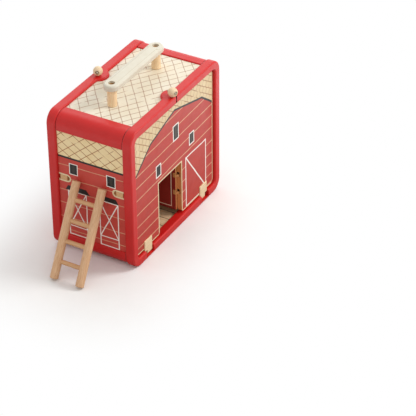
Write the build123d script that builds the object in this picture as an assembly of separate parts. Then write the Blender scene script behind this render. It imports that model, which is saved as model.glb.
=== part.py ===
"""Toy barn with two fold-down walls, an inward door and a loose ladder.

Millimetres, +Z up.  The front, with the doorway, faces -Y.  The ladder leans on the
left end, at -X.  The pieces are worked out about the middle of the barn's footprint, and
the last step sets them on the part's origin, the middle of the front frame's foot.
"""
from build123d import *
import os
from math import cos, hypot, radians, sin, sqrt

# The house, over its two frames and without the handle
barn_length = 304.0
barn_depth = 166.4
barn_height = 272.0

# Front and back frames: rounded rings that everything else hangs between
frame_depth = 17.7
frame_width = 15.5
frame_corner = 23.0
frame_inner_corner = 9.0
frame_rounding = 3.0

# Half-round tab and cord slit in the middle of each frame's top rail
tab_radius = 20.2
tab_neck = 5.0
slit_width = 3.0
slit_depth = 12.4

# Corner rails between the frames, with a step that the panels lie on
rail_inset = 2.0
rail_roof_face = 33.0
rail_end_face = 29.5
rail_edge = 1.5
rail_rim_edge = 0.8
seat_width = 8.0
seat_thickness = 7.0
dowel_diameter = 8.0
dowel_length = 20.0
dowel_inset = 12.0
dowel_bevel = 1.0

# Roof, floor and end panels
panel_thickness = 6.0
panel_recess = 2.5
panel_gap = 0.2

# Upper floor, tenoned through the end panels
loft_height = 148.0
loft_thickness = 9.5
loft_edge_gap = 3.0
slot_reach = 21.5
slot_clearance = 0.2
well_margin = 4.0
well_corner = 6.0

# Carrying handle
handle_width = 28.0
handle_thickness = 11.0
handle_span = 145.0
handle_clearance = 33.4
handle_rounding = 4.0
handle_crown = 15.0
handle_slope = 1.6
post_diameter = 16.5
post_edge = 1.0
post_head_diameter = 21.0
post_head_height = 6.5
post_head_edge = 1.4
post_head_cove = 4.0
spigot_diameter = 12.0
spigot_recess = 4.0
handle_screw = 4.0
handle_screw_length = 30.0
handle_screw_head = 9.0
handle_screw_dome = 2.0
handle_screw_round = 1.6

# Fold-down walls
wall_thickness = 9.0
wall_recess = 5.8
wall_gap = 1.5
wall_foot_gap = 2.4
wall_corner = 9.0
wall_rounding = 0.8

# Wall hinges: a stepped block in the wall turns on a pin in the frame's bottom rail
hinge_radius = 4.0
hinge_proud = 2.2
hinge_height = 7.8
hinge_beside = 27.0
hinge_plate_width = 24.5
hinge_plate_height = 20.5
hinge_plate_drop = 3.9
hinge_tongue_width = 16.7
hinge_plate_edge = 1.2
hinge_pin_diameter = 3.0
hinge_pin_bite = 8.0
hinge_clearance = 0.4

# Doorway and door
doorway_left = -56.0
doorway_width = 78.3
doorway_height = 123.9
doorway_foot_round = 6.5
doorway_head_round = 2.0
door_thickness = 5.6
door_gap = 0.8
door_foot = 22.7
door_flush = 0.6
door_edge = 0.7
door_pin_diameter = 1.8
door_pin_inset = 1.7
door_pin_beside = 1.3
door_pin_bite = 5.0
door_knuckle = 2.3
door_plate_depth = 4.8
door_plate_height = 9.0
door_plate_proud = 0.5
door_tongue_height = 4.5
door_hinge_lower = 37.2
door_hinge_upper = 73.2

# Closing beads on elastic cords
bead_radius = 8.5
bead_gap = 0.3
bead_bore = 3.0
bead_counterbore = 7.0
bead_counterbore_depth = 3.5
cord_diameter = 1.8
cord_bore = 2.6
cord_anchor = 28.0
cord_end_gap = 2.0
knot_diameter = 4.4
cord_arc_share = 0.45  # of the shorter run, that an arc of the cord takes at each corner

# Ladder
ladder_length = 172.8
ladder_width = 51.5
ladder_lean = 29.2
pole_diameter = 15.0
pole_rounding = 1.5
rung_diameter = 8.0
rung_count = 4
rung_pitch = 36.4
rung_first = 31.6
rung_bite = 5.0

fit = 0.05      # radial room of a pin, dowel or screw in its bore
seat_gap = 0.1  # room between pieces that are glued or rest on each other
beyond = 1.0    # how far a cut, or a piece that joins another, runs past the face it meets
near = 0.01     # how exactly an edge or a corner is looked up by its place

# Planes that several pieces share
frame_front = -barn_depth / 2
frame_inner = frame_front + frame_depth
frame_middle = frame_front + frame_depth / 2
opening_half = barn_length / 2 - frame_width
opening_top = barn_height - frame_width
rail_side = barn_length / 2 - rail_inset
rail_top = barn_height - rail_inset
panel_side = rail_side - panel_recess
roof_top = rail_top - panel_recess
floor_top = rail_inset + panel_recess + panel_thickness
wall_front = frame_front + wall_recess
wall_back = wall_front + wall_thickness
wall_foot = frame_width + wall_foot_gap
wall_head = opening_top - wall_gap
wall_half = opening_half - wall_gap
hinge_place = opening_half - hinge_beside - hinge_plate_width
hinge_plate_foot = wall_foot - hinge_plate_drop
hinge_plate_head = hinge_plate_foot + hinge_plate_height
hinge_face = wall_front - hinge_proud
hinge_axis = hinge_face + hinge_radius
doorway_right = doorway_left + doorway_width
door_axis_x = doorway_right + door_pin_beside
door_axis_y = wall_back - door_pin_inset
door_head = doorway_height - door_gap
slot_height = loft_thickness + 2 * slot_clearance
slot_end = -frame_inner - slot_reach
cord_line = (wall_front + wall_back) / 2


def across(profile, back, thickness):
    """A profile drawn in X and Z, from the depth back towards the front."""
    return extrude(Plane.XZ.offset(-back) * profile, thickness)


def upright(profile, left, thickness):
    """A profile drawn in Y and Z, from the place left towards +X."""
    return extrude(Plane.YZ.offset(left) * profile, thickness)


def flat(profile, bottom, thickness):
    """A profile drawn in X and Y, from the height bottom upwards."""
    return extrude(Plane.XY.offset(bottom) * profile, thickness)


def block(x0, x1, y0, y1, z0, z1):
    """A box between two corners."""
    centre = Pos((x0 + x1) / 2, (y0 + y1) / 2, (z0 + z1) / 2)
    return centre * Box(x1 - x0, y1 - y0, z1 - z0)


def rod(start, direction, diameter, length):
    """A round bar from start along direction."""
    return extrude(Plane(origin=start, z_dir=direction) * Circle(diameter / 2), length)


def at(items, axis, place):
    """Those of some edges, faces or corners that lie at a place along an axis."""
    return items.filter_by_position(axis, place - near, place + near)


def dowel_place(side, level):
    """X and Z of the dowel line in one corner; level is 1 at the roof and -1 at the floor."""
    x = side * (barn_length / 2 - dowel_inset)
    z = barn_height / 2 + level * (barn_height / 2 - dowel_inset)
    return x, z


def four_corners():
    """Side and level of each corner of a frame."""
    return [(side, level) for side in (-1, 1) for level in (-1, 1)]


# ---------------------------------------------------------------- frames

def tab_outline():
    """The tab seen from above: a disc that grows out of the top rail through two fillets."""
    half_disc = Circle(tab_radius) & Pos(0, tab_radius) * Rectangle(2 * tab_radius, 2 * tab_radius)
    strip = Rectangle(4 * tab_radius, frame_depth)
    outline = strip + half_disc
    necks = at(outline.vertices(), Axis.Y, frame_depth / 2)
    necks = necks.filter_by_position(Axis.X, -tab_radius, tab_radius)
    return Pos(0, frame_middle) * fillet(necks, tab_neck)


def ring():
    """The rounded rectangle with its tab, all long edges softly rounded."""
    outer = RectangleRounded(barn_length, barn_height, frame_corner)
    inner = RectangleRounded(2 * opening_half, barn_height - 2 * frame_width, frame_inner_corner)
    body = across(Pos(0, barn_height / 2) * (outer - inner), frame_inner, frame_depth)
    tab_root = roof_top
    body += flat(tab_outline(), tab_root, barn_height - tab_root)

    edges = body.edges()
    soft = at(edges, Axis.Y, frame_front)
    for edge in at(edges, Axis.Y, frame_inner):
        beside_tab = tab_root - near < edge.center().Z < barn_height - near
        if not (beside_tab and abs(edge.center().X) < 2 * tab_radius):
            soft.append(edge)
    for edge in at(edges, Axis.Z, barn_height):
        if edge.center().Y > frame_inner + near:
            soft.append(edge)
    return fillet(soft, frame_rounding)


def cord_slit():
    """The slit that lets the cord swing out to the front."""
    end = frame_front + slit_depth - slit_width / 2
    plan = Pos(0, end) * Circle(slit_width / 2)
    mouth = frame_front - beyond
    plan += Pos(0, (end + mouth) / 2) * Rectangle(slit_width, end - mouth)
    return flat(plan, opening_top - beyond, frame_width + 2 * beyond)


def hinge_span(side):
    """The lowest and highest X of a hinge plate, and of its narrower tongue."""
    near = hinge_place
    plate = (near, near + hinge_plate_width)
    tongue = (near, near + hinge_tongue_width)
    if side < 0:
        plate = (-plate[1], -plate[0])
        tongue = (-tongue[1], -tongue[0])
    return plate, tongue


def hinge_notch(side):
    """Room in the bottom rail for a hinge, open to the front and to the top."""
    plate, _ = hinge_span(side)
    back = hinge_axis + hinge_radius + hinge_clearance
    bottom = hinge_height - hinge_radius - hinge_clearance
    return block(plate[0] - hinge_clearance, plate[1] + hinge_clearance,
                 frame_front - beyond, back, bottom, frame_width + beyond)


def hinge_pin(side):
    """The steel pin of one wall hinge, let into the rail beyond both ends of the notch."""
    plate, _ = hinge_span(side)
    start = plate[0] - hinge_clearance - hinge_pin_bite
    length = hinge_plate_width + 2 * hinge_clearance + 2 * hinge_pin_bite
    return rod((start, hinge_axis, hinge_height), (1, 0, 0), hinge_pin_diameter, length)


def hinge_pin_bore(side):
    """The bore of that pin."""
    plate, _ = hinge_span(side)
    start = plate[0] - hinge_clearance - hinge_pin_bite - fit
    length = hinge_plate_width + 2 * hinge_clearance + 2 * hinge_pin_bite + 2 * fit
    return rod((start, hinge_axis, hinge_height), (1, 0, 0), hinge_pin_diameter + 2 * fit, length)


def dowel_holes():
    """Blind holes in the frame's inner face for the corner rails' dowels."""
    holes = []
    for side, level in four_corners():
        x, z = dowel_place(side, level)
        depth = dowel_length / 2 + fit
        holes.append(rod((x, frame_inner, z), (0, -1, 0), dowel_diameter + 2 * fit, depth))
    return holes


def front_frame():
    body = ring() - cord_slit()
    for side in (-1, 1):
        body -= hinge_notch(side)
        body -= hinge_pin_bore(side)
    for hole in dowel_holes():
        body -= hole
    return body


# ---------------------------------------------------------------- shell

def rail_profile():
    """The top right corner rail: a quarter-round with two seats and a sloped inner side."""
    bottom = rail_top - rail_end_face
    inner = rail_side - rail_roof_face
    seat_x = panel_side - panel_thickness
    seat_z = roof_top - panel_thickness
    outline = Polyline(
        (inner, rail_top),
        (rail_side, rail_top),
        (rail_side, bottom),
        (seat_x, bottom),
        (seat_x, bottom - seat_width),
        (seat_x - seat_thickness, bottom - seat_width),
        (inner - seat_width, seat_z - seat_thickness),
        (inner - seat_width, seat_z),
        (inner, seat_z),
        close=True,
    )
    profile = make_face(outline)
    quarter = at(profile.vertices(), Axis.X, rail_side).sort_by(Axis.Y)[-1:]
    profile = fillet(quarter, frame_corner - rail_inset)
    lips = at(profile.vertices(), Axis.X, inner).sort_by(Axis.Y)[-1:]
    lips += at(profile.vertices(), Axis.X, rail_side).sort_by(Axis.Y)[:1]
    return fillet(lips, rail_edge)


def corner_rail(side, level):
    """One corner rail between the frames."""
    end = -frame_inner - seat_gap
    body = across(rail_profile(), end, 2 * end)
    seat_x = panel_side - panel_thickness + rail_edge
    seat_z = roof_top - panel_thickness + rail_edge
    rims = at(body.edges(), Axis.Y, end) + at(body.edges(), Axis.Y, -end)
    body = fillet([rim for rim in rims if rim.center().X > seat_x or rim.center().Z > seat_z], rail_rim_edge)
    if side < 0:
        body = mirror(body, about=Plane.YZ)
    if level < 0:
        body = mirror(body, about=Plane.XY.offset(barn_height / 2))
    x, z = dowel_place(side, level)
    depth = dowel_length / 2 + fit
    for way in (-1, 1):
        start = (x, way * (frame_inner + seat_gap), z)
        body -= rod(start, (0, way, 0), dowel_diameter + 2 * fit, depth)
    return body


def frame_dowels():
    """Eight dowels, half in a frame and half in a corner rail."""
    pegs = []
    for side, level in four_corners():
        x, z = dowel_place(side, level)
        for way in (-1, 1):
            start = (x, -way * frame_inner - dowel_length / 2, z)
            peg = rod(start, (0, 1, 0), dowel_diameter, dowel_length)
            pegs.append(chamfer(peg.edges().filter_by(GeomType.CIRCLE), dowel_bevel))
    return Compound(children=pegs)


def roof_board(bottom):
    """A panel that lies on the corner rails, from end to end and from frame to frame."""
    length = 2 * (rail_side - rail_roof_face - panel_gap)
    depth = -2 * (frame_inner + panel_gap)
    return flat(Rectangle(length, depth), bottom, panel_thickness)


def roof_panel():
    body = roof_board(roof_top - panel_thickness)
    for side in (-1, 1):
        body -= rod((side * handle_span / 2, 0, roof_top - 2 * panel_thickness), (0, 0, 1),
                    handle_screw + 2 * fit, 3 * panel_thickness)
    return body


def floor_panel():
    return roof_board(floor_top - panel_thickness)


def loft_slot(way):
    """One slot of an end panel: open at the panel's edge, round at its inner end."""
    radius = slot_height / 2
    edge = -frame_inner
    plan = Pos(way * (slot_end + radius), loft_height) * Circle(radius)
    middle = (slot_end + radius + edge) / 2
    plan += Pos(way * middle, loft_height) * Rectangle(edge - slot_end - radius, slot_height)
    return plan


def end_panel(side):
    """An end panel with the two slots that the upper floor's tenons come through."""
    bottom = rail_inset + rail_end_face + panel_gap
    top = rail_top - rail_end_face - panel_gap
    board = Pos(0, (bottom + top) / 2) * Rectangle(-2 * (frame_inner + panel_gap), top - bottom)
    for way in (-1, 1):
        board -= loft_slot(way)
    left = panel_side - panel_thickness if side > 0 else -panel_side
    return upright(board, left, panel_thickness)


def door_sweep_reach():
    """How far in the open door's far top corner still is when it reaches the upper floor."""
    door_width = doorway_width - 2 * door_gap
    far = door_axis_y + door_pin_beside + door_gap + door_width - hinge_axis
    high = door_head - hinge_height
    under = loft_height - loft_thickness / 2 - hinge_height
    return hinge_axis + sqrt(max(far ** 2 + high ** 2 - under ** 2, 0))


def loft_floor():
    """The upper floor: tenons at its corners and a ladder well over the doorway."""
    half_depth = -frame_inner - loft_edge_gap
    inside = panel_side - panel_thickness - panel_gap
    plan = Rectangle(2 * inside, 2 * half_depth)
    tenon_start = slot_end + slot_height / 2
    for side in (-1, 1):
        for way in (-1, 1):
            length = panel_side - inside
            tenon = Rectangle(length, half_depth - tenon_start)
            plan += Pos(side * (inside + length / 2), way * (half_depth + tenon_start) / 2) * tenon
    left = doorway_left - well_margin
    right = doorway_right + well_margin
    back = max(door_sweep_reach(), -half_depth) + well_margin
    front = -half_depth - beyond
    well = make_face(Polyline((left, front), (right, front), (right, back), (left, back), close=True))
    well = fillet(well.vertices().sort_by(Axis.Y)[-2:], well_corner)
    return flat(plan - well, loft_height - loft_thickness / 2, loft_thickness)


# ---------------------------------------------------------------- handle

def handle_bar():
    """A bar with round ends, bored for the posts, its top sloped to both sides between them."""
    bottom = roof_top + handle_clearance
    top = bottom + handle_thickness
    plan = SlotCenterToCenter(handle_span, handle_width)
    bar = flat(plan, bottom, handle_thickness)
    top_edges = bar.edges().group_by(Axis.Z)[-1]
    bar = fillet(top_edges, handle_rounding)
    low_edges = bar.edges().group_by(Axis.Z)[0]
    bar = fillet(low_edges, handle_rounding / 2)
    for way in (-1, 1):
        crown = way * handle_crown / 2
        rim = way * handle_width / 2
        slope = make_face(Polyline((crown, top), (rim, top - handle_slope), (rim, top + beyond),
                                   (crown, top + beyond), close=True))
        waste = upright(slope, -handle_span / 2, handle_span)
        for side in (-1, 1):
            waste -= rod((side * handle_span / 2, 0, bottom), (0, 0, 1), handle_width, 2 * handle_thickness)
        bar -= waste
    for side in (-1, 1):
        start = (side * handle_span / 2, 0, bottom - beyond)
        bar -= rod(start, (0, 0, 1), spigot_diameter + 2 * fit, handle_thickness + 2 * beyond)
    return bar


def handle_post(side):
    """A turned post: shank, wider head and the spigot that stands in the bar."""
    radius = post_diameter / 2
    head = post_head_diameter / 2
    neck = spigot_diameter / 2
    shoulder = handle_clearance - seat_gap
    top = handle_clearance + handle_thickness - spigot_recess
    edge = radius - post_edge
    flare = shoulder - post_head_height
    outline = Polyline((0, seat_gap), (edge, seat_gap), (radius, seat_gap + post_edge),
                       (radius, flare), (head, shoulder - post_head_edge), (head, shoulder),
                       (neck, shoulder), (neck, top), (0, top), close=True)
    section = make_face(outline)
    cove = at(section.vertices().filter_by_position(Axis.Y, flare - near, flare + near), Axis.X, radius)
    post = revolve(Plane.XZ * fillet(cove, post_head_cove), Axis.Z)
    post = Pos(side * handle_span / 2, 0, roof_top) * post
    start = (side * handle_span / 2, 0, roof_top)
    bite = handle_screw_length - panel_thickness + beyond
    return post - rod(start, (0, 0, 1), handle_screw + 2 * fit, bite)


def handle_screws():
    """Two pan-head screws that hold the posts from under the roof."""
    screws = []
    under_roof = roof_top - panel_thickness - seat_gap
    for side in (-1, 1):
        start = (side * handle_span / 2, 0, under_roof)
        shank = rod(start, (0, 0, 1), handle_screw, handle_screw_length)
        head = rod(start, (0, 0, -1), handle_screw_head, handle_screw_dome)
        head = fillet(head.edges().group_by(Axis.Z)[0], handle_screw_round)
        screws.append(shank + head)
    return Compound(children=screws)


# ---------------------------------------------------------------- walls

def wall_board():
    """A plywood wall that fills a frame, with round corners and eased edges."""
    height = wall_head - wall_foot
    plan = Pos(0, (wall_head + wall_foot) / 2) * RectangleRounded(2 * wall_half, height, wall_corner)
    return across(plan, wall_back, wall_thickness)


def hinge_pocket(side):
    """The pocket in the wall's outer face that holds a hinge plate."""
    plate, _ = hinge_span(side)
    return block(plate[0] - seat_gap, plate[1] + seat_gap, wall_front - beyond,
                 hinge_face + 2 * hinge_radius + seat_gap, wall_foot - beyond, hinge_plate_head + seat_gap)


def wall_hinge(side):
    """A stepped hinge block: plate in the wall, narrower tongue and knuckle on the pin."""
    plate, tongue = hinge_span(side)
    back = hinge_face + 2 * hinge_radius
    body = block(plate[0], plate[1], hinge_face, back, hinge_plate_foot, hinge_plate_head)
    body += block(tongue[0], tongue[1], hinge_face, back, hinge_height, hinge_plate_foot + beyond)
    knuckle_start = (tongue[0], hinge_axis, hinge_height)
    width = tongue[1] - tongue[0]
    body += rod(knuckle_start, (1, 0, 0), 2 * hinge_radius, width)
    face_edges = at(body.faces(), Axis.Y, hinge_face).edges()
    face_edges = face_edges.filter_by_position(Axis.Z, hinge_plate_foot + beyond, hinge_plate_head + near)
    body = fillet(face_edges, hinge_plate_edge)
    return body - rod(knuckle_start, (1, 0, 0), hinge_pin_diameter + 2 * fit, width)


def cord_hole():
    """The bore in the wall's top edge that the elastic cord comes out of."""
    depth = cord_anchor + cord_end_gap
    return rod((0, cord_line, wall_head + beyond), (0, 0, -1), cord_bore, depth + beyond)


def plain_wall():
    """A wall with its hinge pockets and cord bore, as the back one is."""
    body = wall_board()
    body = fillet(at(body.edges(), Axis.Y, wall_front), wall_rounding)
    for side in (-1, 1):
        body -= hinge_pocket(side)
    return body - cord_hole()


def doorway():
    """The doorway, cut through the wall's lower edge, with round corners and jamb feet."""
    foot = doorway_foot_round
    low = wall_foot - beyond
    plan = make_face(Polyline((doorway_left, doorway_height), (doorway_right, doorway_height),
                              (doorway_right, low), (doorway_left, low), close=True))
    plan = fillet(at(plan.vertices(), Axis.Y, doorway_height), doorway_head_round)
    for x, way in ((doorway_left, -1), (doorway_right, 1)):
        square = Pos(x + way * foot / 2, wall_foot + foot / 2) * Rectangle(foot, foot)
        plan += square - Pos(x + way * foot, wall_foot + foot) * Circle(foot)
    return across(plan, wall_back + beyond, wall_thickness + 2 * beyond)


def door_hinge_levels():
    """Middle heights of the two door hinges."""
    return (door_foot + door_hinge_lower, door_foot + door_hinge_upper)


def door_hinge_notch(level):
    """Room for a door hinge's tongue in the jamb's inner corner."""
    reach = door_knuckle + hinge_clearance
    front = door_axis_y - door_knuckle - 2 * hinge_clearance - door_pin_beside
    half = door_plate_height / 2 + hinge_clearance
    return block(doorway_right - beyond, door_axis_x + reach, front, wall_back + beyond,
                 level - half, level + half)


def door_pin(level, room):
    """The pin of a door hinge, or its bore where room is more than nothing."""
    half = door_plate_height / 2 + hinge_clearance + door_pin_bite + room
    return rod((door_axis_x, door_axis_y, level - half), (0, 0, 1), door_pin_diameter + 2 * room, 2 * half)


def front_wall():
    body = plain_wall() - doorway()
    for level in door_hinge_levels():
        body -= door_hinge_notch(level)
        body -= door_pin(level, fit)
    return body


def door_hinge_pins():
    return Compound(children=[door_pin(level, 0) for level in door_hinge_levels()])


# ---------------------------------------------------------------- door, standing open

def door_bounds():
    """The open door's X of its outer and inner face, and the Y of its hinge edge."""
    depth_shut = door_axis_y - (wall_front + door_flush)
    outer = door_axis_x - depth_shut
    edge = door_axis_y + door_pin_beside + door_gap
    return outer, outer + door_thickness, edge


def door_leaf():
    """The door, open at a right angle, with a notch in its hinge edge for each hinge."""
    outer, inner, edge = door_bounds()
    width = doorway_width - 2 * door_gap
    body = block(outer, inner, edge, edge + width, door_foot, door_head)
    body = fillet(body.edges().filter_by(Axis.Z), door_edge)
    half = door_plate_height / 2 + seat_gap
    for level in door_hinge_levels():
        body -= block(outer - beyond, inner + beyond, edge - beyond,
                      edge + door_plate_depth + seat_gap, level - half, level + half)
    return body


def door_hinge(level):
    """A door hinge block: plate in the leaf, and a link round the pin at its lower side."""
    outer, inner, edge = door_bounds()
    half = door_plate_height / 2
    plate = block(outer - door_plate_proud, inner, edge, edge + door_plate_depth, level - half, level + half)
    link_end = (inner - door_knuckle, edge + door_knuckle)
    run = (link_end[0] - door_axis_x, link_end[1] - door_axis_y)
    length = hypot(run[0], run[1])
    middle = ((door_axis_x + link_end[0]) / 2, (door_axis_y + link_end[1]) / 2)
    turn = Vector(1, 0, 0).get_signed_angle(Vector(run[0], run[1], 0), Vector(0, 0, 1))
    link = Pos(middle[0], middle[1]) * Rot(0, 0, turn) * SlotCenterToCenter(length, 2 * door_knuckle)
    tongue = flat(link, level - half, door_tongue_height)
    bore = rod((door_axis_x, door_axis_y, level - door_plate_height), (0, 0, 1),
               door_pin_diameter + 2 * fit, 2 * door_plate_height)
    return plate + tongue - bore


# ---------------------------------------------------------------- beads and cords

# Where each bead lies, and the points that its cord runs through from the slit's mouth
# round to the bead's hole, measured from the middle of the slit's mouth
front_bead_place = (-5.4, -6.0)
front_cord_route = ((0.0, 0.0, 0.8), (0.4, 4.4, 2.2), (0.0, 7.2, 4.2), (-1.2, 7.0, 7.2))
back_bead_place = (-5.4, 2.6)
back_cord_route = ((0.0, 0.0, 0.8), (3.6, -0.6, 2.2), (6.5, -1.8, 4.4), (6.3, -2.1, 7.4))


def bead_centre(place):
    """The middle of a bead that rests on the top rail."""
    return Vector(place[0], cord_line + place[1], barn_height + bead_gap + bead_radius)


def route_point(offset):
    """A point of the cord, from its place beside the slit's mouth."""
    return Vector(offset[0], cord_line + offset[1], barn_height + offset[2])


def bead_axis(place, route):
    """The direction of the bead's hole, from the cord's last bend through the middle."""
    return (bead_centre(place) - route_point(route[-1])).normalized()


def bead(place, route):
    """A turned bead: a ball with a bore and a deeper seat for the knot."""
    bore = bead_bore / 2
    seat = bead_counterbore / 2
    floor = sqrt(bead_radius ** 2 - seat ** 2) - bead_counterbore_depth
    section = Circle(bead_radius) & Pos(bead_radius, 0) * Rectangle(2 * bead_radius, 2 * bead_radius)
    section -= Rectangle(2 * bore, 4 * bead_radius)
    section -= Pos(0, floor + bead_radius) * Rectangle(2 * seat, 2 * bead_radius)
    ball = revolve(Plane.XZ * section, Axis.Z)
    place_on = Plane(origin=bead_centre(place), z_dir=bead_axis(place, route))
    return place_on.location * ball


def knot_height():
    """How far the knot lies from the bead's middle, on the floor of its seat."""
    seat = bead_counterbore / 2
    return sqrt(bead_radius ** 2 - seat ** 2) - bead_counterbore_depth + knot_diameter / 2 + seat_gap


def cord(place, route):
    """The elastic cord: up out of the wall, round behind the bead and through its hole."""
    knot = bead_centre(place) + bead_axis(place, route) * knot_height()
    points = [Vector(0, cord_line, wall_head - cord_anchor)]
    points += [route_point(offset) for offset in route]
    points.append(knot)
    radii = []
    for before, corner, after in zip(points, points[1:], points[2:]):
        turn = radians((corner - before).get_angle(after - corner))
        shorter = min((corner - before).length, (after - corner).length)
        radii.append(cord_arc_share * shorter * cos(turn / 2) / sin(turn / 2))
    print("cord bend radii", [round(radius, 1) for radius in radii])
    path = FilletPolyline(*points, radius=radii)
    start = Plane(origin=points[0], z_dir=(0, 0, 1))
    line = sweep(start * Circle(cord_diameter / 2), path=path)
    return line + Pos(knot.X, knot.Y, knot.Z) * Sphere(knot_diameter / 2)


# ---------------------------------------------------------------- ladder

def ladder_frame():
    """The ladder's own plane: Z along the poles, origin between the poles' feet."""
    lean = radians(ladder_lean)
    flat_part = pole_diameter / 2 - pole_rounding
    along = Vector(sin(lean), 0, cos(lean))
    foot_drop = pole_rounding * cos(lean) - flat_part * sin(lean) - pole_rounding
    head_reach = -pole_rounding * sin(lean) + flat_part * cos(lean) + pole_rounding
    top_x = -panel_side - bead_gap - head_reach
    origin = Vector(top_x - ladder_length * along.X, 0, -foot_drop)
    return Plane(origin=origin, x_dir=(0, 1, 0), z_dir=along)


def rung_heights():
    """How far up the poles the rungs stand."""
    return [rung_first + rung_pitch * step for step in range(rung_count)]


def ladder_pole(way):
    """One pole with round ends and blind holes for the rungs."""
    pole = extrude(Circle(pole_diameter / 2), ladder_length)
    pole = fillet(pole.edges().filter_by(GeomType.CIRCLE), pole_rounding)
    face = way * (ladder_width - pole_diameter) / 2
    pole = Pos(way * ladder_width / 2, 0, 0) * pole
    for height in rung_heights():
        mouth = (face - way * beyond, 0, height)
        pole -= rod(mouth, (way, 0, 0), rung_diameter + 2 * fit, beyond + rung_bite + fit)
    return ladder_frame().location * pole


def ladder_rung(height):
    """One rung, let into both poles."""
    length = ladder_width - pole_diameter + 2 * rung_bite
    return ladder_frame().location * rod((-length / 2, 0, height), (1, 0, 0), rung_diameter, length)


# ---------------------------------------------------------------- all pieces

def back_of(shape):
    """The same piece on the back of the barn."""
    return mirror(shape, about=Plane.XZ)


def pieces():
    """Every piece by its name."""
    frame = front_frame()
    pins = Compound(children=[hinge_pin(-1), hinge_pin(1)])
    found = {
        "front_frame": frame,
        "back_frame": back_of(frame),
        "frame_dowels": frame_dowels(),
        "roof_panel": roof_panel(),
        "floor_panel": floor_panel(),
        "loft_floor": loft_floor(),
        "handle_bar": handle_bar(),
        "handle_screws": handle_screws(),
        "front_wall": front_wall(),
        "back_wall": back_of(plain_wall()),
        "front_hinge_pins": pins,
        "back_hinge_pins": back_of(pins),
        "door_leaf": door_leaf(),
        "door_hinge_pins": door_hinge_pins(),
        "front_bead": bead(front_bead_place, front_cord_route),
        "front_cord": cord(front_bead_place, front_cord_route),
        "back_bead": back_of(bead(back_bead_place, back_cord_route)),
        "back_cord": back_of(cord(back_bead_place, back_cord_route)),
    }
    for side, name in ((-1, "left"), (1, "right")):
        found["roof_rail_" + name] = corner_rail(side, 1)
        found["floor_rail_" + name] = corner_rail(side, -1)
        found["end_panel_" + name] = end_panel(side)
        found["handle_post_" + name] = handle_post(side)
        hinge = wall_hinge(side)
        found["front_hinge_" + name] = hinge
        found["back_hinge_" + name] = back_of(hinge)
    for level, name in zip(door_hinge_levels(), ("lower", "upper")):
        found["door_hinge_" + name] = door_hinge(level)
    for way, name in ((-1, "front"), (1, "back")):
        found["ladder_pole_" + name] = ladder_pole(way)
    for number, height in enumerate(rung_heights(), start=1):
        found["ladder_rung_%d" % number] = ladder_rung(height)
    return found


def from_front_foot(shape):
    """A piece, or a group of like pieces, measured from the part's origin."""
    moved = [Pos(0, -frame_middle, 0) * solid for solid in shape.solids()]
    return moved[0] if len(moved) == 1 else Compound(children=moved)


os.makedirs("parts", exist_ok=True)
for node, shape in pieces().items():
    export_step(from_front_foot(shape), "parts/" + node + ".step")
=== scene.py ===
"""Finishes of a wooden play barn that folds open: lacquered frames, screen-printed plywood, beech and cord.

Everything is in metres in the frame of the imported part. Patterns are laid out in millimetres.
The front lies at -Y, the long axis is X, and the loft ladder leans on the left end.
"""

import math

import bpy
import numpy as np
from mathutils import Matrix, Vector


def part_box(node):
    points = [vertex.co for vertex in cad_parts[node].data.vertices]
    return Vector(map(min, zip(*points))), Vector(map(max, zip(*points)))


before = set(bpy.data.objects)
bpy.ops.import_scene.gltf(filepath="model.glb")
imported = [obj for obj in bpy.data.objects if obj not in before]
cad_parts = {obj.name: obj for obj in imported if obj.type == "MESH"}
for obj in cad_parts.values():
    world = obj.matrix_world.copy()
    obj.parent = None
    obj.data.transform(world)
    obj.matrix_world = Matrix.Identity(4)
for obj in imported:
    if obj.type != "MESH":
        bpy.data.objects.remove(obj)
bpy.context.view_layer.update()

LOW, HIGH = 0, 1
X, Y, Z = 0, 1, 2


def end_of(node, side, axis):
    """How far a piece reaches along an axis, to its low or its high side, in millimetres."""
    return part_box(node)[side][axis] * 1000


# The faces that the finishes are laid out from.
BARN_MIDDLE = (end_of("front_frame", LOW, Y) + end_of("back_frame", HIGH, Y)) / 2
RAIL_HALF = (end_of("roof_rail_left", HIGH, Y) - end_of("roof_rail_left", LOW, Y)) / 2
FRONT_FACE = end_of("front_wall", LOW, Y)
BACK_FACE = end_of("back_wall", HIGH, Y)
END_FACE = end_of("end_panel_right", HIGH, X)
ROOF_FACE = end_of("roof_panel", HIGH, Z)
LOFT_FACE = end_of("loft_floor", HIGH, Z)
FLOOR_FACE = end_of("floor_panel", HIGH, Z)

# Millimetres. Outlines are given by their low and high corners.
PRINT_DEPTH = 0.3        # how far below its face a surface still counts as printed
SLIT_HALF = 1.7          # half the band of painted shade in a cord's slit
SLIT_FOOT = 240.0        # the frames have no slit below this height
CROWN_HALF = 7.5         # from the handle's middle to an edge of its crown
CROWN_REACH = 66.0       # how far out the crown's edges run, to either side
LADDER_LEAN = 29.2       # degrees from upright


def linear(code):
    """The linear colour of an sRGB hex code."""
    shares = [int(code[i:i + 2], 16) / 255 for i in (0, 2, 4)]
    return (*[s / 12.92 if s <= 0.04045 else ((s + 0.055) / 1.055) ** 2.4 for s in shares], 1.0)


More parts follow.
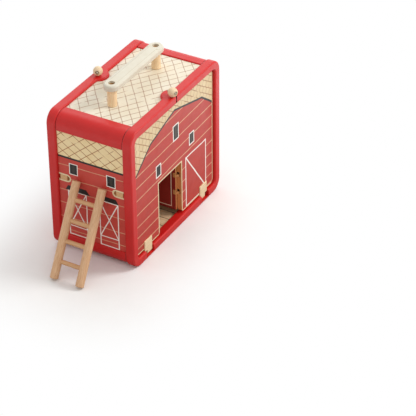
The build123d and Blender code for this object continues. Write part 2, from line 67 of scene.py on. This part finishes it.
def add(tree, kind, *inputs, out=0, stops=(), **settings):
    """Adds one node: small-letter settings are its properties, capital ones its named inputs.

    Inputs in order fill the sockets in use. Each is a value, a hex colour or another node's output.
    """
    made = tree.nodes.new("ShaderNode" + kind)
    for name, value in settings.items():
        if name[0].islower():
            setattr(made, name, value)
    sockets = [s for s in made.inputs if s.enabled]
    pairs = list(zip(sockets, inputs))
    pairs += [(made.inputs[n.replace("_", " ")], v) for n, v in settings.items() if not n[0].islower()]
    for socket, value in pairs:
        if isinstance(value, bpy.types.NodeSocket):
            tree.links.new(value, socket)
        elif value is not None:
            socket.default_value = linear(value) if isinstance(value, str) else value
    if stops:
        ramp = made.color_ramp
        while len(ramp.elements) < len(stops):
            ramp.elements.new(0.5)
        for element, (place, value) in zip(ramp.elements, stops):
            element.position = place
            element.color = linear(value) if isinstance(value, str) else (value, value, value, 1)
    used = [s for s in made.outputs if s.enabled]
    return (made.outputs[out] if isinstance(out, str) else used[out]) if used else made


def surface(name):
    """An empty node material, its tree and the point of the piece in millimetres."""
    material = bpy.data.materials.new(name)
    material.use_nodes = True
    tree = material.node_tree
    tree.nodes.clear()
    at = add(tree, "TexCoord", out="Object")
    return material, tree, add(tree, "VectorMath", at, 1000.0, operation="SCALE")


def close(tree, colour, roughness, height=None, relief=0.2, **shader):
    """Ends a material: one principled shader with a relief of so many millimetres."""
    if height is not None:
        shader["Normal"] = add(tree, "Bump", Strength=1.0, Distance=relief / 1000, Height=height)
    shaded = add(tree, "BsdfPrincipled", Base_Color=colour, Roughness=roughness, **shader)
    add(tree, "OutputMaterial", Surface=shaded)


def nearest(tree, first, *others):
    """The least of several distances: how far off the nearest drawn line is."""
    for other in others:
        first = add(tree, "Math", first, other, operation="MINIMUM")
    return first


def off_middle(tree, axes):
    """How far in front of or behind the barn's middle a point lies."""
    ahead = add(tree, "Math", axes["Y"], BARN_MIDDLE, operation="SUBTRACT")
    return add(tree, "Math", ahead, operation="ABSOLUTE")


def facing(tree, direction, least=0.7):
    """1 where the surface looks along direction, in the piece's own frame."""
    normal = add(tree, "TexCoord", out="Normal")
    share = add(tree, "VectorMath", normal, direction, operation="DOT_PRODUCT", out="Value")
    return add(tree, "Math", share, least, operation="GREATER_THAN")


def mottled(tree, point, size, first, second, low=0.3, high=0.7):
    """Soft blotches of about size millimetres, from one tone or number to another."""
    cloud = add(tree, "TexNoise", point, Scale=1 / size, Detail=4.0, Roughness=0.6, out="Fac")
    return add(tree, "ValToRGB", cloud, stops=((low, first), (high, second)))


def grain(tree, point, along, pitch, stretch=16.0):
    """Wood streaks from 0 to 1, pitch millimetres apart and stretch times as long, along an axis.

    The real figure is finer than the render can show, so every pitch is a little coarse.
    """
    scale = [1 / pitch] * 3
    scale[along] = 1 / (pitch * stretch)
    bend = add(tree, "TexNoise", point, Scale=0.018, Detail=1.0, out="Color")
    swayed = add(tree, "VectorMath", bend, (14.0, 14.0, 14.0), point, operation="MULTIPLY_ADD")
    drawn = add(tree, "VectorMath", swayed, scale, operation="MULTIPLY")
    return add(tree, "TexNoise", drawn, Scale=1.0, Detail=5.0, Roughness=0.62, out="Fac")


def paint(tree, under, over, distance, half=0.0, blur=0.35, share=1.0):
    """Lays colour over on colour under, softly, where a distance is less than half."""
    mask = add(tree, "MapRange", distance, half - blur, half + blur, 1.0, 0.0,
               interpolation_type="SMOOTHSTEP")
    mask = add(tree, "Math", mask, share, operation="MULTIPLY")
    return add(tree, "Mix", mask, under, over, data_type="RGBA")


def stroke(tree, point, start, end):
    """Distance to the straight stroke from start to end."""
    first = Vector((*start, 0))
    run = Vector((*end, 0)) - first
    offset = add(tree, "VectorMath", point, first, operation="SUBTRACT")
    share = add(tree, "VectorMath", offset, run / run.length_squared,
                operation="DOT_PRODUCT", out="Value")
    share = add(tree, "Clamp", share)
    rest = add(tree, "VectorMath", share, -run, offset, operation="MULTIPLY_ADD")
    return add(tree, "VectorMath", rest, operation="LENGTH", out="Value")


def pane(tree, point, low, high):
    """Distance to an upright rectangle's outline, below 0 inside it."""
    middle = [(a + b) / 2 for a, b in zip(low, high)]
    half = [(b - a) / 2 for a, b in zip(low, high)]
    offset = add(tree, "VectorMath", point, (*middle, 0), operation="SUBTRACT")
    offset = add(tree, "VectorMath", offset, operation="ABSOLUTE")
    offset = add(tree, "VectorMath", offset, (*half, 1000.0), operation="SUBTRACT")
    axes = add(tree, "SeparateXYZ", offset).node.outputs
    return add(tree, "Math", axes["X"], axes["Y"], operation="MAXIMUM")


def laid_flat(tree, axes, first, second, sway=0.9):
    """Two of the point's numbers as a drawing's plane, and the same with a slow hand-drawn wobble."""
    flat = add(tree, "CombineXYZ", axes[first], axes[second])
    if first == "Y":
        flat = add(tree, "VectorMath", flat, (BARN_MIDDLE, 0, 0), operation="SUBTRACT")
    wobble = add(tree, "TexNoise", flat, Scale=0.03, Detail=2.0, out="Color")
    wobble = add(tree, "VectorMath", wobble, (0.5, 0.5, 0.5), operation="SUBTRACT")
    return flat, add(tree, "VectorMath", wobble, (sway * 2, sway * 2, 0), flat, operation="MULTIPLY_ADD")


def siding(tree, point, slope, heights):
    """Distance to the nearest of the near-level board lines."""
    level = add(tree, "VectorMath", point, (-slope, 1.0, 0), operation="DOT_PRODUCT", out="Value")
    gaps = []
    for height in heights:
        gap = add(tree, "Math", level, height, operation="SUBTRACT")
        gaps.append(add(tree, "Math", gap, operation="ABSOLUTE"))
    return nearest(tree, *gaps)


def turned(tree, point, degrees, pitch):
    """Places along and across strokes at an angle, and the number of the row between them."""
    way = (math.cos(math.radians(degrees)), math.sin(math.radians(degrees)))
    along = add(tree, "VectorMath", point, (way[0], way[1], 0), operation="DOT_PRODUCT", out="Value")
    across = add(tree, "VectorMath", point, (-way[1], way[0], 0), operation="DOT_PRODUCT", out="Value")
    row = add(tree, "Math", across, pitch, operation="DIVIDE")
    return along, across, row


def strokes(tree, point, degrees, pitch, length, least, shift=0.0):
    """Distance to brush strokes pitch apart at an angle, which taper out and start again along each line."""
    along, across, row = turned(tree, point, degrees, pitch)
    gap = add(tree, "Math", add(tree, "Math", across, shift), pitch / 2, operation="PINGPONG")
    row = add(tree, "Math", add(tree, "Math", row, shift / pitch), operation="ROUND")
    spot = add(tree, "CombineXYZ", add(tree, "Math", along, length, operation="DIVIDE"),
               add(tree, "Math", row, 7.31, operation="MULTIPLY"))
    drawn = add(tree, "TexNoise", spot, Scale=1.0, Detail=2.0, out="Fac")
    rest = add(tree, "MapRange", drawn, least, least + 0.12, 1.2, 0.0)
    return add(tree, "Math", gap, rest)


def joints(tree, point, degrees, pitch, length):
    """Distance to short cross strokes between the rows, staggered like the joints of shingles."""
    along, across, row = turned(tree, point, degrees, pitch)
    row = add(tree, "Math", row, operation="FLOOR")
    stagger = add(tree, "Math", row, 0.41 * length, operation="MULTIPLY")
    lean = add(tree, "Math", across, 0.18, operation="MULTIPLY")
    place = add(tree, "Math", add(tree, "Math", along, stagger), lean)
    gap = add(tree, "Math", place, length / 2, operation="PINGPONG")
    rest = mottled(tree, point, 12.0, 0.0, 0.8, 0.55, 0.72)
    return add(tree, "Math", gap, rest)


# Birch plywood: pale rotary-cut face with a lazy figure, cream and brown layers at its edges.
def birch_board(tree, point, along, across, start, ply):
    """Bare board with its grain along one axis, and layered edges that are counted from start across it."""
    streaks = grain(tree, point, along, 5.0, 9.0)
    face = add(tree, "ValToRGB", streaks, stops=((0.35, "E6CDA5"), (0.72, "CBA473")))
    depth = add(tree, "SeparateXYZ", point).node.outputs["XYZ"[across]]
    depth = add(tree, "Math", depth, start, operation="SUBTRACT")
    layer = add(tree, "Math", depth, ply, operation="PINGPONG")
    edge = paint(tree, "CC9560", "E8C697", layer, ply / 2, ply / 10)
    edge = add(tree, "Mix", mottled(tree, point, 6.0, 0.0, 0.6), edge, "D6A571", data_type="RGBA")
    direction = Vector([1.0 if axis == across else 0.0 for axis in range(3)])
    flat = add(tree, "Math", facing(tree, direction), facing(tree, -direction))
    return add(tree, "Mix", flat, edge, face, data_type="RGBA")


def printed_top(tree, point, axes, print_colour, top):
    """A print on a board's top face alone, with bare birch on its edges and underside."""
    bare = birch_board(tree, point, X, Z, top, 1.2)
    high = add(tree, "Math", axes["Z"], top - PRINT_DEPTH, operation="GREATER_THAN")
    return add(tree, "Mix", high, bare, print_colour, data_type="RGBA")


# Red lacquer on a hardwood frame: a thin satin coat that lets a little grain through in relief.
def red_lacquer(name, along, seam_shade):
    """Lacquered wood with painted shade: in the seams where the rails meet the frames, or in the cord's
    slit.
    """
    material, tree, point = surface(name)
    axes = add(tree, "SeparateXYZ", point).node.outputs
    streaks = grain(tree, point, along, 3.0, 20.0)
    colour = mottled(tree, point, 30.0, "D01A18", "C91815")
    pores = add(tree, "MapRange", streaks, 0.6, 0.8, 0.0, 0.25)
    colour = add(tree, "Mix", pores, colour, "AC1111", data_type="RGBA")
    if seam_shade:
        # Painted shade along the seams where the rails' ends meet the frames.
        gap = add(tree, "Math", RAIL_HALF, off_middle(tree, axes), operation="SUBTRACT")
        colour = paint(tree, colour, "580D0F", gap, 0.75, 0.45, 0.85)
    else:
        # Painted shade in the cord's slit, on its side faces above the slit's foot.
        across = add(tree, "Math", axes["X"], operation="ABSOLUTE")
        below = add(tree, "Math", SLIT_FOOT, axes["Z"], operation="SUBTRACT")
        gap = add(tree, "Math", across, below, operation="MAXIMUM")
        sides = add(tree, "Math", facing(tree, (1, 0, 0)), facing(tree, (-1, 0, 0)))
        colour = paint(tree, colour, "3E0708", gap, SLIT_HALF, 0.2, sides)
    close(tree, colour, mottled(tree, point, 12.0, 0.34, 0.46), streaks, 0.1, Specular_IOR_Level=0.42)
    return material


# The prints' drawings, in millimetres from the barn's middle and from the ground.
GABLE = [(-125, 182), (-79, 217), (1, 241), (96, 217), (136, 187)]
SIDING = [231.4, 205.1, 180.9, 158.7, 133.9, 104.9, 79.6, 57.9, 35.7, 18.4]
WALL_PRINT = ((-132.2, 20.7), (132.2, 252.5))
DOORWAY = ((-56.0, 0.0), (22.3, 123.9))
DOORWAY_EDGE = 2.5
PRINTED_DOOR = ((38.0, 21.0), (109.0, 123.4))
PRINTED_BRACE = ((40.0, 122.0), (107.0, 26.5))
DOOR_LINE = ((15.3 - BARN_MIDDLE, 28.5), (74.0 - BARN_MIDDLE, 117.5))
WALL_WINDOWS = [((-62.8, 138.9), (-47.6, 161.6), "15100C"), ((-3.6, 180.4), (14.2, 209.9), "46392B"),
                ((51.4, 142.8), (67.4, 165.4), "403428")]
END_EAVES = 190.5
END_SIDING = [175.5, 149, 124.5, 97.5, 68.5, 42.5]
END_WINDOWS = [((27.5, 159.5), (43.2, 180.0)), ((-47.5, 158.0), (-31.0, 179.2))]
END_DOORS = [((12.0, 34.5), (48.0, 124.5), 52.5), ((-51.0, 33.0), (-14.5, 124.5), 51.5)]
END_HOODS = [(4.5, 11.5, 48.0, 53.5), (-53.0, -47.5, -14.5, -8.5)]
HOOD_FOOT, HOOD_TOP = 125.5, 135.0
HOODS_END = 125.2
SLOT_NEAR, SLOT_FAR, SLOT_LEVEL, SLOT_EDGE = 48.9, 80.0, 148.0, 7.7
HALF_BOARD = 11.0        # of the printed floors
INK_BLACK = "191410"
INK_WHITE = "FFFBF2"
INK_CREAM = "F0D6A8"
PRINT_RED = "BF362A"
DEEP_RED = "B63126"
STRAW = "E6D1A7"
DEEP_STRAW = "DBC193"
BARE_EDGE = "EAD5AC"


def roof_line(tree, point, corners):
    """Distance below a roof line, which is the least of its slopes' distances."""
    slopes = []
    for (x0, z0), (x1, z1) in zip(corners, corners[1:]):
        run = Vector((x1 - x0, z1 - z0)).normalized()
        reach = add(tree, "VectorMath", point, (run.y, -run.x, 0), operation="DOT_PRODUCT", out="Value")
        slopes.append(add(tree, "Math", reach, run.y * x0 - run.x * z0, operation="SUBTRACT"))
    return nearest(tree, *slopes)


def window(tree, colour, point, low, high, line, sheen_tone="362D25"):
    """A small dark window with a drawn pale frame and a dim sheen in the middle of the glass."""
    box = pane(tree, point, low, high)
    middle = (low[0] + high[0]) / 2
    sheen = stroke(tree, point, (middle, low[1] + 6), (middle, high[1] - 6))
    glass = paint(tree, "0B0705", sheen_tone, sheen, 2.5, 3.0, 0.9)
    colour = paint(tree, colour, glass, box)
    return paint(tree, colour, INK_WHITE, add(tree, "Math", box, operation="ABSOLUTE"), line)


# Screen-printed plywood: red boards with cream joints under a straw roof edge, matt varnished.
def long_wall(name, outward, with_doorway):
    """A long wall: the printed outer face, the bare inside and the layered edge."""
    material, tree, point = surface(name)
    axes = add(tree, "SeparateXYZ", point).node.outputs
    flat, drawn = laid_flat(tree, axes, "X", "Z")
    depth = roof_line(tree, drawn, GABLE)
    ink = mottled(tree, point, 9.0, 0.44, 0.8)
    door = pane(tree, drawn, *PRINTED_DOOR)
    clear = add(tree, "Math", door, 0.0, operation="GREATER_THAN")
    colour = mottled(tree, point, 22.0, PRINT_RED, DEEP_RED)
    boards = siding(tree, drawn, 0.033, SIDING)
    faint = siding(tree, drawn, 0.033, [(a + b) / 2 - 2 for a, b in zip(SIDING, SIDING[1:])])
    shaded = add(tree, "Math", clear, 0.2, operation="MULTIPLY")
    colour = paint(tree, colour, "8E2A22", faint, 0.6, 0.5, shaded)
    inked = add(tree, "Math", clear, ink, operation="MULTIPLY")
    colour = paint(tree, colour, INK_CREAM, boards, 0.8, 0.4, inked)
    cross = nearest(tree, add(tree, "Math", door, operation="ABSOLUTE"),
                    stroke(tree, drawn, *PRINTED_BRACE))
    colour = paint(tree, colour, INK_WHITE, cross, 1.25, 0.4, mottled(tree, point, 9.0, 0.85, 1.0))
    for low, high, tone in WALL_WINDOWS:
        colour = window(tree, colour, drawn, low, high, 1.1, tone)
    straw = mottled(tree, point, 16.0, STRAW, DEEP_STRAW)
    lines = strokes(tree, drawn, -34.0, 11.0, 34.0, 0.32)
    straw = paint(tree, straw, "94531C", lines, 0.65, 0.5, 0.85)
    straw = paint(tree, straw, "985A28", joints(tree, drawn, -34.0, 11.0, 13.0), 0.55, 0.5, 0.7)
    colour = paint(tree, straw, colour, add(tree, "Math", depth, -1.0, operation="MULTIPLY"))
    colour = paint(tree, colour, INK_BLACK, add(tree, "Math", depth, operation="ABSOLUTE"), 1.8)
    margin = add(tree, "Math", pane(tree, flat, *WALL_PRINT), -1.0, operation="MULTIPLY")
    if with_doorway:
        around = add(tree, "Math", pane(tree, flat, *DOORWAY), DOORWAY_EDGE, operation="SUBTRACT")
        margin = nearest(tree, margin, around)
    colour = paint(tree, colour, BARE_EDGE, margin)
    bare = birch_board(tree, point, X, Y, FRONT_FACE if outward < 0 else BACK_FACE, 1.5)
    if with_doorway:
        bare = add(tree, "Mix", facing(tree, (-1, 0, 0)), bare, "DE9056", data_type="RGBA")
    colour = add(tree, "Mix", facing(tree, (0, outward, 0)), bare, colour, data_type="RGBA")
    close(tree, colour, mottled(tree, point, 10.0, 0.34, 0.46), grain(tree, point, X, 1.6, 14.0), 0.05,
          Specular_IOR_Level=0.42)
    return material


def end_wall():
    """A short wall, whose print is laid out from the barn's middle."""
    material, tree, point = surface("screen_printed_plywood_end")
    axes = add(tree, "SeparateXYZ", point).node.outputs
    flat, drawn = laid_flat(tree, axes, "Y", "Z")
    ink = mottled(tree, point, 9.0, 0.375, 0.7125)
    # The end's red is lighter than the long walls' print red: painted light on the end faces.
    colour = mottled(tree, point, 22.0, "CD4A3F", "C44338")
    colour = paint(tree, colour, INK_CREAM, siding(tree, drawn, -0.02, END_SIDING), 0.6, 0.4, ink)
    for low, high, rail in END_DOORS:
        box = pane(tree, drawn, low, high)
        bars = nearest(tree, add(tree, "Math", box, operation="ABSOLUTE"),
                       stroke(tree, drawn, (low[0], rail), (high[0], rail)),
                       stroke(tree, drawn, (low[0], rail), high),
                       stroke(tree, drawn, (high[0], rail), (low[0], high[1])))
        colour = paint(tree, colour, INK_WHITE, bars, 0.95, 0.35, 0.95)
    for low, high in END_WINDOWS:
        colour = window(tree, colour, drawn, low, high, 0.7)
    for edge in END_HOODS:
        hood = roof_line(tree, drawn, list(zip(edge, (HOOD_FOOT, HOOD_TOP, HOOD_TOP, HOOD_FOOT))))
        over_door = add(tree, "Math", axes["Z"], HOODS_END, operation="SUBTRACT")
        hood = nearest(tree, hood, over_door)
        colour = paint(tree, colour, INK_BLACK, add(tree, "Math", hood, -1.0, operation="MULTIPLY"))
    # The end's straw is lighter than the long walls' straw: painted light on the end faces.
    straw = mottled(tree, point, 16.0, "FFE8B8", "F9DCA6")
    for slope, shift in ((33.0, 0.0), (-39.5, 5.0)):
        lines = strokes(tree, drawn, slope, 14.0, 40.0, 0.30, shift)
        straw = paint(tree, straw, "9A5216", lines, 0.6, 0.5, 0.9)
    above = add(tree, "Math", END_EAVES, axes["Z"], operation="SUBTRACT")
    colour = paint(tree, colour, straw, above)
    colour = paint(tree, colour, INK_BLACK, add(tree, "Math", above, operation="ABSOLUTE"), 1.9)
    for way in (-1, 1):
        slot = stroke(tree, flat, (way * SLOT_NEAR, SLOT_LEVEL), (way * SLOT_FAR, SLOT_LEVEL))
        colour = paint(tree, colour, BARE_EDGE, slot, SLOT_EDGE)
    bare = birch_board(tree, point, Y, X, END_FACE, 1.2)
    reach = add(tree, "Math", axes["X"], operation="ABSOLUTE")
    skin = add(tree, "Math", reach, END_FACE - PRINT_DEPTH, operation="GREATER_THAN")
    sides = add(tree, "Math", facing(tree, (-1, 0, 0)), facing(tree, (1, 0, 0)))
    printed = add(tree, "Math", skin, sides, operation="MULTIPLY")
    colour = add(tree, "Mix", printed, bare, colour, data_type="RGBA")
    close(tree, colour, mottled(tree, point, 10.0, 0.46, 0.58), grain(tree, point, Y, 1.6, 14.0), 0.06,
          Specular_IOR_Level=0.35)
    return material


def roof_print():
    """The roof: a cream print with courses of shingles in brown brush strokes."""
    material, tree, point = surface("screen_printed_plywood_roof")
    axes = add(tree, "SeparateXYZ", point).node.outputs
    _, drawn = laid_flat(tree, axes, "X", "Y", 1.6)
    colour = mottled(tree, point, 40.0, "EAE3D0", "E6DAC1")
    cross = strokes(tree, drawn, -34.0, 14.5, 30.0, 0.31, 5.0)
    colour = paint(tree, colour, "96602F", cross, 0.6, 0.6, 0.85)
    lines = strokes(tree, drawn, 39.0, 16.2, 60.0, 0.32, 3.0)
    colour = paint(tree, colour, "8E5024", lines, 0.55, 0.5, 0.78)
    colour = printed_top(tree, point, axes, colour, ROOF_FACE)
    close(tree, colour, mottled(tree, point, 10.0, 0.42, 0.55), grain(tree, point, X, 1.6, 14.0), 0.05,
          Specular_IOR_Level=0.35)
    return material


def floor_boards(name, top):
    """A floor printed as tan boards with dark joints that run from front to back."""
    material, tree, point = surface(name)
    axes = add(tree, "SeparateXYZ", point).node.outputs
    _, drawn = laid_flat(tree, axes, "X", "Z")
    board = add(tree, "SeparateXYZ", drawn).node.outputs["X"]
    board = add(tree, "Math", board, HALF_BOARD, operation="PINGPONG")
    streaks = grain(tree, point, Y, 4.0, 12.0)
    colour = add(tree, "ValToRGB", streaks, stops=((0.35, "F2D3AA"), (0.7, "DDB184")))
    colour = paint(tree, colour, "4A2A12", board, 0.8, 0.35, 0.9)
    colour = printed_top(tree, point, axes, colour, top)
    close(tree, colour, 0.55, streaks, 0.08, Specular_IOR_Level=0.35)
    return material


# The door leaf: the walls' red print on solid board, a cream line inside its edge, planed edges. Its red is
# darker than the walls': painted shade, as the leaf stands inside the barn.
def door_print():
    material, tree, point = surface("screen_printed_board_door")
    axes = add(tree, "SeparateXYZ", point).node.outputs
    _, drawn = laid_flat(tree, axes, "Y", "Z", 0.5)
    box = pane(tree, drawn, *DOOR_LINE)
    # A darker red than the walls': painted shade for the leaf inside the barn.
    colour = mottled(tree, point, 22.0, "9C221B", "901D17")
    colour = paint(tree, colour, "F2D9C2", add(tree, "Math", box, operation="ABSOLUTE"), 0.8)
    streaks = grain(tree, point, Z, 3.0, 14.0)
    bare = add(tree, "ValToRGB", streaks, stops=((0.35, "E09C60"), (0.7, "C07842")))
    colour = add(tree, "Mix", facing(tree, (-1, 0, 0)), bare, colour, data_type="RGBA")
    close(tree, colour, 0.55, streaks, 0.08, Specular_IOR_Level=0.35)
    return material


# Solid beech or maple, sanded and oiled: pink-tan with short dark flecks along the grain.
# It is darker on the end grain that faces up: partly the oil it soaks up, partly painted shade for the
# handle's bores that the uprights' tops sit in.
def beech(name, along, light, dark, turn=0.0, end=None):
    material, tree, point = surface(name)
    if turn:
        point = add(tree, "Mapping", point, Rotation=(0.0, turn, 0.0))
    streaks = grain(tree, point, along, 1.5, 14.0)
    flecks = grain(tree, point, along, 0.8, 7.0)
    colour = add(tree, "ValToRGB", streaks, stops=((0.36, light), (0.72, dark)))
    marks = add(tree, "MapRange", flecks, 0.6, 0.75, 0.0, 0.4)
    colour = add(tree, "Mix", marks, colour, "9A6244", data_type="RGBA")
    # Darker upward end grain: soaked-in oil, and painted shade of the handle's bores.
    if end:
        upward = facing(tree, [1.0 if axis == along else 0.0 for axis in range(3)])
        colour = add(tree, "Mix", upward, colour, end, data_type="RGBA")
    close(tree, colour, mottled(tree, point, 8.0, 0.42, 0.56), flecks, 0.06, Specular_IOR_Level=0.4)
    return material


# Water-based enamel on the carrying bar: warm white, brushed along, with painted shade in a line along each
# of the crown's two edges.
def handle_enamel():
    material, tree, point = surface("satin_enamel_on_handle_bar")
    axes = add(tree, "SeparateXYZ", point).node.outputs
    crown = add(tree, "Math", off_middle(tree, axes), CROWN_HALF, operation="SUBTRACT")
    crown = add(tree, "Math", crown, operation="ABSOLUTE")
    past_end = add(tree, "Math", axes["X"], operation="ABSOLUTE")
    past_end = add(tree, "Math", past_end, CROWN_REACH, operation="SUBTRACT")
    crown = add(tree, "Math", crown, past_end, operation="MAXIMUM")
    colour = mottled(tree, point, 25.0, "DDD7C5", "D7CFBB")
    # Painted shade along the crown's two edges, where the flat top turns down.
    colour = paint(tree, colour, "BDB299", crown, 0.5, 0.5, 0.55)
    close(tree, colour, mottled(tree, point, 14.0, 0.36, 0.48), grain(tree, point, X, 1.8, 26.0), 0.05,
          Specular_IOR_Level=0.45)
    return material


# Plated steel: zinc bright with a faint grey cast and fine turning marks, or a dark brown-black.
def plated_steel(name, light, dark):
    material, tree, point = surface(name)
    colour = mottled(tree, point, 3.0, light, dark)
    close(tree, colour, mottled(tree, point, 1.5, 0.22, 0.4), Metallic=1.0)
    return material


# Elastic cord: a rubber core under a braided off-white cover. Its ribs are drawn about 1 mm apart,
# which is coarser than they are, so that they show.
def elastic_braid():
    material, tree, point = surface("braided_elastic_cord")
    ribs = add(tree, "TexWave", point, Scale=0.55, Distortion=0.4, bands_direction="DIAGONAL", out="Fac")
    colour = add(tree, "ValToRGB", ribs, stops=((0.0, "DAD2C0"), (1.0, "A79C87")))
    close(tree, colour, 0.8, ribs, 0.15, Specular_IOR_Level=0.3)
    return material


def give(material, *names):
    """The finish goes on these nodes through their own material slots."""
    for name in names:
        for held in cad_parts[name].material_slots:
            held.material = material


give(red_lacquer("red_lacquer_on_frame", X, seam_shade=False), "front_frame", "back_frame")
give(red_lacquer("red_lacquer_on_rail", Y, seam_shade=True),
     "roof_rail_left", "roof_rail_right", "floor_rail_left", "floor_rail_right")
give(long_wall("screen_printed_plywood_front", outward=-1, with_doorway=True), "front_wall")
give(long_wall("screen_printed_plywood_back", outward=1, with_doorway=False), "back_wall")
give(end_wall(), "end_panel_left", "end_panel_right")
give(roof_print(), "roof_panel")
give(floor_boards("printed_plywood_floor", FLOOR_FACE), "floor_panel")
give(floor_boards("printed_plywood_loft", LOFT_FACE), "loft_floor")
give(door_print(), "door_leaf")
give(handle_enamel(), "handle_bar")
# The uprights' beech is paler than the other beech pieces: painted light against the handle's shade that
# they stand in.
give(beech("oiled_beech_upright", Z, "FADFB6", "E8C494", end="A87C4C"),
     "handle_post_left", "handle_post_right")
give(beech("oiled_beech_bead", X, "EDD6B3", "E1C299"), "front_bead", "back_bead")
give(beech("oiled_beech_dowel", Y, "E0BC8E", "C89B69"), "frame_dowels")
give(beech("oiled_beech_rung", Y, "DCAE80", "C48D60"), *[f"ladder_rung_{i}" for i in range(1, 5)])
give(beech("oiled_beech_pole", Z, "E6BC93", "CC986C", turn=math.radians(-LADDER_LEAN)),
     "ladder_pole_front", "ladder_pole_back")
give(beech("planed_maple_hinge_block", X, "F2DAB4", "E2C294"),
     "front_hinge_left", "front_hinge_right", "back_hinge_left", "back_hinge_right")
# The door's hinges are darker and more orange than the walls' hinge blocks.
give(beech("orange_tan_beech_door_hinge", X, "DC9A5E", "C07C44"), "door_hinge_lower", "door_hinge_upper")
give(plated_steel("zinc_plated_steel", "B9BABC", "9C9EA1"),
     "handle_screws", "front_hinge_pins", "back_hinge_pins")
give(plated_steel("dark_brown_steel", "3C2A1E", "241811"), "door_hinge_pins")
give(elastic_braid(), "front_cord", "back_cord")


AIM_HEIGHT = 0.14


def softbox(name, towards, level, size, distance=1.9):
    """A square lamp of size metres, so many metres out along towards, that aims at the barn's middle.

    Its power is level times pi squared times distance squared, so level is the light that arrives.
    """
    lamp = bpy.data.lights.new(name, "AREA")
    lamp.size = size
    lamp.energy = level * math.pi ** 2 * distance ** 2
    holder = bpy.data.objects.new(name, lamp)
    way = Vector(towards).normalized()
    holder.location = Vector((0.0, BARN_MIDDLE / 1000, AIM_HEIGHT)) + way * distance
    holder.rotation_mode = "QUATERNION"
    holder.rotation_quaternion = way.to_track_quat("Z", "Y")
    bpy.context.scene.collection.objects.link(holder)


softbox("key_softbox", towards=(0.52, -0.82, 0.90), level=0.46, size=0.5)
softbox("back_softbox", towards=(0.72, 0.40, 0.62), level=0.16, size=1.6)


FLOOR_REACH = 6.0                   # metres, from the middle to the floor's edges
STANDING_MIDDLE = (-46.0, 72.0)     # millimetres, of the rectangle that barn and ladder stand on
STANDING_HALF = (170.0, 58.0)       # half its sides
FADE_FROM, FADE_TO = 25.0, 200.0    # how far off it the floor starts to fade, and where it is white
SHINE_FROM, SHINE_TO = 220.0, 380.0
SHINE_LEVEL = 1.7                   # of the far floor, as the lacquer and the prints mirror it
SKY_LEVEL = 0.77                    # what the white sky gives the barn, of what it shows


def studio():
    """An even sky, and a pale floor that fades to white away from the barn.

    The floor is a flat square on a grid of two by two corners. It gives the barn less light than it
    shows, and far out it shines in what mirrors it.
    """
    side = np.array([-FLOOR_REACH, FLOOR_REACH])
    across, along = np.meshgrid(side, side)
    corners = np.stack([across, along, np.zeros_like(across)], -1).reshape(-1, 3)
    mesh = bpy.data.meshes.new("studio_floor")
    mesh.from_pydata(corners.tolist(), [], [(0, 1, 3, 2)])
    ground = bpy.data.objects.new("studio_floor", mesh)
    bpy.context.scene.collection.objects.link(ground)
    material, tree, point = surface("matt_pale_floor")
    offset = add(tree, "VectorMath", point, (*STANDING_MIDDLE, 0.0), operation="SUBTRACT")
    offset = add(tree, "VectorMath", offset, operation="ABSOLUTE")
    offset = add(tree, "VectorMath", offset, (*STANDING_HALF, 1.0), operation="SUBTRACT")
    offset = add(tree, "VectorMath", offset, (0.0, 0.0, 0.0), operation="MAXIMUM")
    reach = add(tree, "VectorMath", offset, operation="LENGTH", out="Value")
    fade = add(tree, "MapRange", reach, FADE_FROM, FADE_TO, 0.0, 1.0, interpolation_type="SMOOTHSTEP")
    path = add(tree, "LightPath").node.outputs
    seen = add(tree, "Math", path["Is Camera Ray"], path["Is Glossy Ray"], operation="MAXIMUM")
    pale = mottled(tree, point, 50.0, "F7F6F4", "F4F3F1")
    tone = add(tree, "Mix", path["Is Camera Ray"], "C6C4C0", pale, data_type="RGBA")
    matt = add(tree, "BsdfDiffuse", tone)
    mirrored = add(tree, "Math", reach, path["Is Glossy Ray"], operation="MULTIPLY")
    shine = add(tree, "MapRange", mirrored, SHINE_FROM, SHINE_TO, 1.0, SHINE_LEVEL)
    white = add(tree, "Emission", "FFFFFF", shine)
    share = add(tree, "Math", fade, seen, operation="MULTIPLY")
    add(tree, "OutputMaterial", Surface=add(tree, "MixShader", share, matt, white))
    mesh.materials.append(material)
    world = bpy.data.worlds.new("studio")
    world.use_nodes = True
    world.node_tree.nodes.clear()
    sky = world.node_tree
    path = add(sky, "LightPath").node.outputs
    plain = add(sky, "Math", path["Is Camera Ray"], path["Is Glossy Ray"], operation="MAXIMUM")
    plain = add(sky, "Math", plain, path["Is Transmission Ray"], operation="MAXIMUM")
    level = add(sky, "MapRange", plain, 0.0, 1.0, SKY_LEVEL, 1.0)
    add(sky, "OutputWorld", Surface=add(sky, "Background", "FFFFFF", level))
    bpy.context.scene.world = world


studio()


CAMERA_PLACE = (-2.28358, -1.35212, 1.85702)
CAMERA_YAW, CAMERA_PITCH, CAMERA_ROLL = 60.665, -34.428, -0.288
FOCAL_LENGTH = 157.27


def camera():
    """A long lens above the left front corner."""
    lens = bpy.data.cameras.new("camera")
    lens.sensor_width = 36.0
    lens.lens = FOCAL_LENGTH
    holder = bpy.data.objects.new("camera", lens)
    yaw, pitch, roll = (math.radians(angle) for angle in (CAMERA_YAW, CAMERA_PITCH, CAMERA_ROLL))
    ahead = Vector((math.sin(yaw) * math.cos(pitch), math.cos(yaw) * math.cos(pitch), math.sin(pitch)))
    right = ahead.cross(Vector((0, 0, 1))).normalized()
    up = right.cross(ahead)
    level = (right * math.cos(roll) + up * math.sin(roll), up * math.cos(roll) - right * math.sin(roll))
    turned_to = Matrix((level[0], level[1], -ahead)).transposed()
    holder.matrix_world = Matrix.Translation(CAMERA_PLACE) @ turned_to.to_4x4()
    bpy.context.scene.collection.objects.link(holder)
    bpy.context.scene.camera = holder


camera()
bpy.context.scene.view_settings.view_transform = "Standard"
